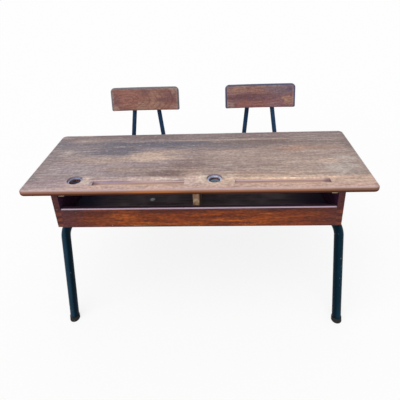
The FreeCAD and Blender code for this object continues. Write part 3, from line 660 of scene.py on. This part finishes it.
def black_rubber(name):
    """Moulded black rubber. The eye sees a matt, dusty black with a fine grit."""
    material, tree, place = start(name)
    dust = streaks(tree, place, (12, 12, 8), 51, 0.4, 0.7)
    grit = streaks(tree, place, (1.2, 1.2, 1.2), 53, 0.4, 0.6)
    colour = laid_over(tree, linear("#0d0e10"), [("#1d1e1d", dust)])
    surface(tree, colour, 0.8, grit, 0.1, {"Specular IOR Level": 0.3})
    return material


def dull_screw_steel(name):
    """Zinc-plated steel gone dull. The eye sees grey metal with brown rust in places."""
    material, tree, place = start(name)
    rust = streaks(tree, place, (3, 3, 3), 61, 0.45, 0.62)
    colour = laid_over(tree, linear("#8f8c86"), [("#5a4234", rust)])
    roughness = add(tree, "MapRange", {"Value": rust, "To Min": 0.35, "To Max": 0.7}).outputs[0]
    surface(tree, colour, roughness, rust, 0.1, {"Metallic": 0.85})
    return material


def finish_with(material, *names):
    """Gives CAD nodes their material."""
    for name in names:
        nodes[name].data.materials.clear()
        nodes[name].data.materials.append(material)


# New pieces: grids of points made into meshes
def grid_faces(rows, columns, close_rows):
    """Quads between neighbouring points of a grid, closed along its columns and, if asked, its rows."""
    row = np.arange(rows if close_rows else rows - 1)
    low_row, low_column = np.meshgrid(row, np.arange(columns), indexing="ij")
    high_row = (low_row + 1) % rows
    high_column = (low_column + 1) % columns
    corners = (
        (low_row, low_column), (low_row, high_column), (high_row, high_column), (high_row, low_column),
    )
    return np.stack([r * columns + c for r, c in corners], axis=-1).reshape(-1, 4)


def placed(name, data):
    """A new object in the scene."""
    made = bpy.data.objects.new(name, data)
    bpy.context.scene.collection.objects.link(made)
    return made


def piece(name, grids, material, body):
    """One object from several grids of points, riding on a body. Each grid is (points, close_rows).

    Grids are closed along their columns. Points that coincide, as in a pole, become one, and the quads there
    become triangles.
    """
    points = []
    faces = []
    count = 0
    for grid, close_rows in grids:
        faces.append(grid_faces(*grid.shape[:2], close_rows) + count)
        points.append(grid.reshape(-1, 3))
        count += grid.shape[0] * grid.shape[1]
    joined, index = np.unique(np.round(np.concatenate(points), 7), axis=0, return_inverse=True)
    corners = index.reshape(-1)[np.concatenate(faces)]
    repeated = corners == np.roll(corners, -1, axis=1)
    repeats = repeated.sum(axis=1)
    quads = corners[repeats == 0]
    triangles = corners[repeats == 1][~repeated[repeats == 1]].reshape(-1, 3)
    mesh = bpy.data.meshes.new(name)
    mesh.from_pydata(joined.tolist(), [], quads.tolist() + triangles.tolist())
    mesh.shade_smooth()
    mesh.materials.append(material)
    made = placed(name, mesh)
    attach(made, body)
    return made


def unit(vector):
    """The vector, or each row of vectors, at length one."""
    return vector / np.linalg.norm(vector, axis=-1, keepdims=True)


def square_to(axis, guide):
    """Two directions square to an axis and to each other, the first also square to the guide."""
    side = unit(np.cross(axis, guide))
    return side, np.cross(axis, side)


def full_turn(count):
    """Angles evenly round a circle."""
    return np.linspace(0, 2 * math.pi, count, endpoint=False)


def circle(count, side, other):
    """Directions evenly round a circle: side cos a + other sin a for each angle a.

    Where side and other are rows of directions, each row gives its own circle.
    """
    turn = full_turn(count)[:, None]
    return np.cos(turn) * side[..., None, :] + np.sin(turn) * other[..., None, :]


def middle_of(name):
    """Middle of a CAD node's box."""
    low, high = (np.array(corner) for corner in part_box(name))
    return (low + high) / 2


def on_tube(name, x, z=None):
    """A point of a cross tube: the middle of its box, moved to the given x and, if asked, z."""
    point = middle_of(name)
    point[0] = x
    if z is not None:
        point[2] = z
    return point


def weld_bead(path, outward, radius):
    """A closed bead along a path: circles of the given radius that swell and shrink in ripples."""
    tangent = unit(np.roll(path, -1, axis=0) - np.roll(path, 1, axis=0))
    steps = np.linalg.norm(np.roll(path, -1, axis=0) - path, axis=1)
    ripples = round(steps.sum() / ripple_length)
    swell = 1 + ripple_swell * np.sin(2 * math.pi * ripples * np.cumsum(steps) / steps.sum())
    rings = circle(bead_sides, outward, np.cross(tangent, outward))
    return path[:, None] + radius * swell[:, None, None] * rings, True


def butt_weld(centre, axis):
    """A bead round a tube where two lengths meet end to end: a circle square to the axis."""
    outward = circle(butt_points, *square_to(axis, seam_guide))
    return weld_bead(centre + outward * tube_radius, outward, seam_bead_radius)


def crossing_weld(contact, upper_radius, upper_axis):
    """A bead round the contact of two crossing tubes: the ellipse where their gap is the bead's width.

    The upper tube runs along X (axis 0) or Y (axis 1). At a distance d from its lowest line it has risen by
    d squared over twice its radius, and the lower tube has fallen in the same way. The bead runs halfway
    between them.
    """
    turn = full_turn(contact_points)
    from_upper = math.sqrt(2 * upper_radius * contact_gap) * np.sin(turn)
    from_lower = math.sqrt(2 * tube_radius * contact_gap) * np.cos(turn)
    offsets = np.zeros((contact_points, 3))
    offsets[:, 1 - upper_axis] = from_upper
    offsets[:, upper_axis] = from_lower
    outward = unit(offsets)
    offsets[:, 2] = from_upper ** 2 / (4 * upper_radius) - from_lower ** 2 / (4 * tube_radius)
    return weld_bead(contact + offsets, outward, contact_bead_radius)


def tee_weld(centre, axis):
    """A bead where a tube ends against another of its own size: the seam s = r |cos a| round the tube."""
    side = np.array((1.0, 0.0, 0.0))
    outward = circle(tee_points, side, np.cross(side, axis))
    seam = tube_radius * np.abs(outward @ side)[:, None] * axis
    path = centre + outward * tube_radius + seam
    return weld_bead(path, unit(outward + tee_lean * axis), seam_bead_radius)


def rail_x(side, rail):
    """Sideways place of a rail's level run, at the wall of its box that is farther from the seat's middle."""
    low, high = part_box(f"{side}_seat_{rail}_rail")
    seat_x = middle_of(side + "_seat")[0]
    far = max(high.x, low.x, key=lambda wall: abs(wall - seat_x))
    return far + math.copysign(rail_radius, seat_x - far)


def weld_beads(paint):
    """All the beads of the tube frame."""
    sideways = np.array((1.0, 0.0, 0.0))
    down_slope = np.array((0, math.cos(top_slope), -math.sin(top_slope)))
    beads = []
    for cross in ("front_cross_tube", "rear_cross_tube"):
        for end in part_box(cross):
            beads.append(butt_weld(on_tube(cross, end.x), sideways))
    for side in ("left", "right"):
        bearer_x = middle_of(side + "_bearer")[0]
        beads.append(tee_weld(on_tube("front_cross_tube", bearer_x), down_slope))
        for cross in ("seat_cross_tube", "rear_cross_tube"):
            low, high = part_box(cross)
            beads.append(crossing_weld(on_tube(cross, bearer_x, low.z), tube_radius, upper_axis=0))
            for rail in ("inner", "outer"):
                contact = on_tube(cross, rail_x(side, rail), high.z)
                beads.append(crossing_weld(contact, rail_radius, upper_axis=1))
    piece("weld_beads", beads, paint, "desk")


def screw_groups(node, axis):
    """Crown and length of each screw of a node. The points near one line along the axis are one screw."""
    mesh = nodes[node].data
    points = np.empty(len(mesh.vertices) * 3)
    mesh.vertices.foreach_get("co", points)
    points = points.reshape(-1, 3)
    found = []
    while len(points):
        flat = points - (points @ axis)[:, None] * axis
        near = np.linalg.norm(flat - flat[0], axis=1) < screw_reach
        levels = points[near] @ axis
        centre = (flat[near].min(axis=0) + flat[near].max(axis=0)) / 2
        found.append((centre + axis * levels.min(), levels.max() - levels.min()))
        points = points[~near]
    return found


def slotted_screw(crown, length, axis, turn):
    """A round-head screw: a dome over chords x = const, lowered inside the slot, and a turned shank.

    Each chord runs over the dome and back under the head, so that the head is closed.
    """
    side, other = square_to(axis, slot_guide)
    u = np.cos(turn) * side + np.sin(turn) * other
    v = np.cross(axis, u)
    outer = np.linspace(slot_half, head_radius, half_chords)
    chords = np.concatenate([-outer[::-1], [-slot_half, slot_half], outer])
    lowered = np.zeros(len(chords))
    lowered[half_chords:half_chords + 2] = slot_depth
    over = np.linspace(-1, 1, chord_points)
    share = np.concatenate([over, over[-2:0:-1]])
    x = np.repeat(chords[:, None], len(share), axis=1)
    y = np.sqrt(head_radius ** 2 - chords ** 2)[:, None] * share[None, :]
    sphere = (head_radius ** 2 + head_height ** 2) / (2 * head_height)
    dome = np.maximum(head_height - sphere + np.sqrt(sphere ** 2 - x ** 2 - y ** 2), 0)
    rise = np.maximum(dome - lowered[:, None], slot_floor * dome)
    rise[:, chord_points:] = 0
    seat = crown + axis * head_height
    head = seat + x[..., None] * u + y[..., None] * v - rise[..., None] * axis
    end = length - head_height
    radii = np.array((0.0, shank_radius, shank_radius, 0.0))[:, None, None]
    levels = np.array((-shank_overlap, -shank_overlap, end - point_length, end))[:, None, None]
    shank = seat + radii * circle(shank_sides, u, v) + levels * axis
    return (head, False), (shank, False)


def slotted_screws(steel):
    """Every group of screws again, with slotted heads, each turned its own way."""
    upright = np.array((0.0, 0.0, 1.0))
    square_to_top = np.array((0, math.sin(top_slope), math.cos(top_slope)))
    forward = np.array((0, -math.cos(backrest_recline), math.sin(backrest_recline)))
    groups = {
        "cleat_screws": square_to_top, "floor_screws": square_to_top, "saddle_screws": square_to_top,
        "seat_screws": upright, "backrest_screws": forward,
    }
    for node, axis in groups.items():
        grids = []
        for number, (crown, length) in enumerate(screw_groups(node, axis)):
            grids.extend(slotted_screw(crown, length, axis, slot_turn * number))
        made = piece("slotted_" + node, grids, steel, "desk")
        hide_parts(node)


def rubber_foot(ground, slant):
    """A ribbed rubber foot: rings round the leg's axis, whose lowest points lie on the floor.

    Along a line down the leg the radius follows the profile, from the middle of the socket over the rim to
    the middle of the sole; each point lies at its share of the way to the floor. A row of the profile is that
    share and what the radius has over the foot's own, in millimetres.
    """
    middle_mm = -foot_radius / MM
    wall_mm = -1.9
    socket_share = 0.66
    profile = np.array([
        [socket_share, middle_mm], [socket_share, wall_mm], [0.00, wall_mm],
        [0.00, -0.5], [0.03, 0.0], [0.10, 0.1], [0.28, 0.2], [0.32, -0.4], [0.38, -0.4], [0.42, 0.3],
        [0.60, 0.4], [0.64, -0.2], [0.70, -0.2], [0.74, 0.5], [0.90, 0.8], [0.97, 0.8], [1.00, 0.4],
        [1.00, middle_mm],
    ])
    shares, swell_mm = profile.T
    radii = (foot_radius + swell_mm * MM)[:, None, None]
    upper = ground - slant * foot_height
    spread = upper + radii * circle(foot_sides, *square_to(unit(slant), (0.0, 1.0, 0.0)))
    drop = spread[..., 2:] * shares[:, None, None]
    return spread + slant * drop, False


def rubber_feet(rubber):
    """The four feet, at the rest faces of the desk."""
    for mount in frame["record"]["mounts"]:
        ground = np.array(mount["pos_m"])
        outward = math.copysign(math.tan(leg_splay), ground[0])
        lean = math.copysign(math.tan(leg_lean), ground[1])
        slant = np.array((outward, lean, -1.0))
        name = mount["name"].replace("_base", "")
        made = piece(name + "_moulded", [rubber_foot(ground, slant)], rubber, "desk")
        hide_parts(name)


# Every node and new piece in its finish
def dress_box():
    """The top and the book box."""
    planks = ("top_front_plank", "top_middle_plank_front", "top_middle_plank_rear", "top_rear_plank")
    for number, plank in enumerate(planks):
        plank_wood = worn_varnished_beech(f"worn_varnished_beech_{number + 1}", seed=11.0 * number)
        finish_with(plank_wood, plank)
    board_wood = red_stained_beech("red_stained_beech_board", grain_axis=0, end_tone="#6c3522", inside=0.0,
                                   seed=3.0)
    finish_with(board_wood, "front_board")
    # The side panels get painted shade on their faces inside the box
    side_wood = red_stained_beech("red_stained_beech_sides", grain_axis=1, end_tone="#42191a", inside=1.0,
                                  seed=5.0)
    finish_with(side_wood, "left_side_panel", "right_side_panel")
    finish_with(dull_floor_board("dull_floor_board"), "compartment_floor")
    divider_wood = plain_beech("plain_beech_divider", grain_axis=1, tone="#80624a", seed=7.0)
    finish_with(divider_wood, "divider")
    cleat_wood = plain_beech("plain_beech_cleats", grain_axis=1, tone="#bfa98c", seed=8.0)
    finish_with(cleat_wood, "left_cleat", "right_cleat")
    # Glaze and residue tones, partly a painted reflection of the sky and a painted glint
    glazes_and_reflections = {"left": ("#8b90ad", "#5c6078"), "right": ("#bcc1da", "#a0b9c6")}
    for side, glaze_and_reflection in glazes_and_reflections.items():
        cup = side + "_inkwell"
        finish_with(glazed_stoneware(f"glazed_stoneware_{side}", cup, *glaze_and_reflection), cup)


def dress_seats():
    """Seats and backrests. An eye is the middle of the rings and how far they are drawn out sideways."""
    reclined = math.pi / 2 - backrest_recline
    # Rim tones: worn grey, partly a painted reflection of the rounded-over edges
    rim_wear_and_reflection_tones = {"left": "#645f66", "right": "#403f5a"}
    tints = {"left": ("#8c5d50", "#7a4b45", "#a78270"), "right": ("#7f5558", "#6c464e", "#9c7f80")}
    eyes = {"left": (-0.095, -0.003, 2.2), "right": (0.04, -0.10, 7.0), "seat": (0.05, -0.06, 3.0)}
    for side, seat_seed, backrest_seed in (("left", 4.35, 9.35), ("right", 3.8, 8.8)):
        seat = side + "_seat"
        seat_middle = middle_of(seat)
        seat_middle[2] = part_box(seat)[0].z + seat_sizes[3] / 2
        seat_wood = figured_plywood("figured_plywood_" + seat, seat_middle, turn=0.0, sizes=seat_sizes,
                                    eye=eyes["seat"], tints=tints["left"], marks=(), rim_wear_and_reflection_tone=rim_wear_and_reflection_tones["left"],
                                    seed=seat_seed)
        finish_with(seat_wood, seat)
        backrest = side + "_backrest"
        backrest_middle = middle_of(backrest)
        backrest_middle[1] += backrest_sizes[2] / 2
        backrest_wood = figured_plywood("figured_plywood_" + backrest, backrest_middle, turn=reclined,
                                        sizes=backrest_sizes, eye=eyes[side], tints=tints[side],
                                        marks=board_marks[side], rim_wear_and_reflection_tone=rim_wear_and_reflection_tones[side], seed=backrest_seed)
        finish_with(backrest_wood, backrest)


def dress_frame():
    """Tubes, saddles, plugs, weld beads, screws and feet."""
    enamel = chipped_enamel("chipped_enamel_frame", "#041f2a", "#0a2c3e")
    tubes = [name for name in nodes if name.endswith(("_leg", "_cross_tube", "_bearer"))]
    finish_with(enamel, *tubes, "tube_saddles")
    # Front legs: copies of the enamel with tones painted lighter or darker for how light falls on each leg
    lit_and_shaded_legs = {"left_front": ("#132b38", "#193344"), "right_front": ("#03222f", "#082a3c")}
    for mount in frame["record"]["mounts"]:
        leg = mount["name"].replace("_foot_base", "")
        if leg in lit_and_shaded_legs:
            side_shaded = chipped_enamel("chipped_enamel_" + leg, *lit_and_shaded_legs[leg], mount["pos_m"])
            finish_with(side_shaded, leg + "_leg")
    rails = [name for name in nodes if name.endswith("_rail")]
    finish_with(chipped_enamel("chipped_enamel_rails", "#1a2d48", "#263f5b"), *rails)
    rubber = black_rubber("black_rubber")
    finish_with(rubber, "frame_plugs", "rail_plugs")
    weld_beads(enamel)
    slotted_screws(dull_screw_steel("dull_screw_steel"))
    rubber_feet(rubber)


# Floor, light and camera
def seen(tree):
    """A mask of the rays that show a surface: to the camera, mirrored in gloss or through glass."""
    path = add(tree, "LightPath").outputs
    mask = path["Is Camera Ray"]
    for ray in ("Is Glossy Ray", "Is Transmission Ray"):
        mask = add(tree, "Math", {0: mask, 1: path[ray]}, operation="MAXIMUM").outputs[0]
    return mask


def with_axes(x_axis, y_axis, z_axis):
    """The matrix of an object turned to the given axes."""
    return Matrix(np.stack([x_axis, y_axis, z_axis], axis=1).tolist()).to_4x4()


def pale_floor():
    """A level pale floor under the desk, nearly white where it is seen, with the desk's soft shadow on it."""
    material, tree, _ = start("pale_floor")
    share = add(tree, "MapRange", {"Value": seen(tree), "To Max": floor_whiteness})
    shade = add(tree, "BsdfDiffuse", {"Color": linear("#f4f4f4")})
    white = add(tree, "Emission", {"Color": linear("#ffffff"), "Strength": 1.0})
    mixed = add(tree, "MixShader", {0: share.outputs[0], 1: shade.outputs[0], 2: white.outputs[0]})
    add(tree, "OutputMaterial", {"Surface": mixed.outputs[0]})
    corners = [(x * floor_half, y * floor_half, 0) for x, y in ((-1, -1), (1, -1), (1, 1), (-1, 1))]
    mesh = bpy.data.meshes.new("pale_floor")
    mesh.from_pydata(corners, [], [(0, 1, 2, 3)])
    mesh.materials.append(material)
    floor = placed("pale_floor", mesh)


def soft_light():
    """An even sky, white where it is seen or mirrored, and one broad lamp from the front left."""
    world = bpy.data.worlds.new("even_sky")
    bpy.context.scene.world = world
    world.use_nodes = True
    tree = world.node_tree
    tree.nodes.clear()
    level = add(tree, "MapRange", {"Value": seen(tree), "To Min": sky_level, "To Max": 1.0})
    sky = add(tree, "Background", {"Color": linear("#ffffff"), "Strength": level.outputs[0]})
    add(tree, "OutputWorld", {"Surface": sky.outputs[0]})
    lamp = bpy.data.lights.new("soft_lamp", "SUN")
    back = unit(lamp_from)
    lamp.energy = lamp_level * math.pi / back[2]
    lamp.angle = lamp_spread
    across = unit(np.cross(-back, (0, 0, 1)))
    placed("soft_lamp", lamp).matrix_world = with_axes(across, np.cross(back, across), back)


def camera():
    """The camera at the photograph's place, its lens axis shifted up in the picture."""
    forward = np.array((math.sin(camera_yaw) * math.cos(camera_pitch),
                        math.cos(camera_yaw) * math.cos(camera_pitch), -math.sin(camera_pitch)))
    level = np.array((math.cos(camera_yaw), -math.sin(camera_yaw), 0))
    down = np.cross(forward, level)
    across = math.cos(camera_roll) * level + math.sin(camera_roll) * down
    upright = math.sin(camera_roll) * level - math.cos(camera_roll) * down
    lens = bpy.data.cameras.new("camera")
    lens.sensor_width = sensor_mm
    lens.lens = sensor_mm * focal_pixels / picture_pixels
    lens.shift_y = (axis_row - picture_pixels / 2) / picture_pixels
    made = placed("camera", lens)
    made.matrix_world = Matrix.Translation(camera_place) @ with_axes(across, upright, -forward)
    bpy.context.scene.camera = made


dress_box()
dress_seats()
dress_frame()
pale_floor()
soft_light()
camera()
bpy.context.scene.view_settings.view_transform = "Standard"
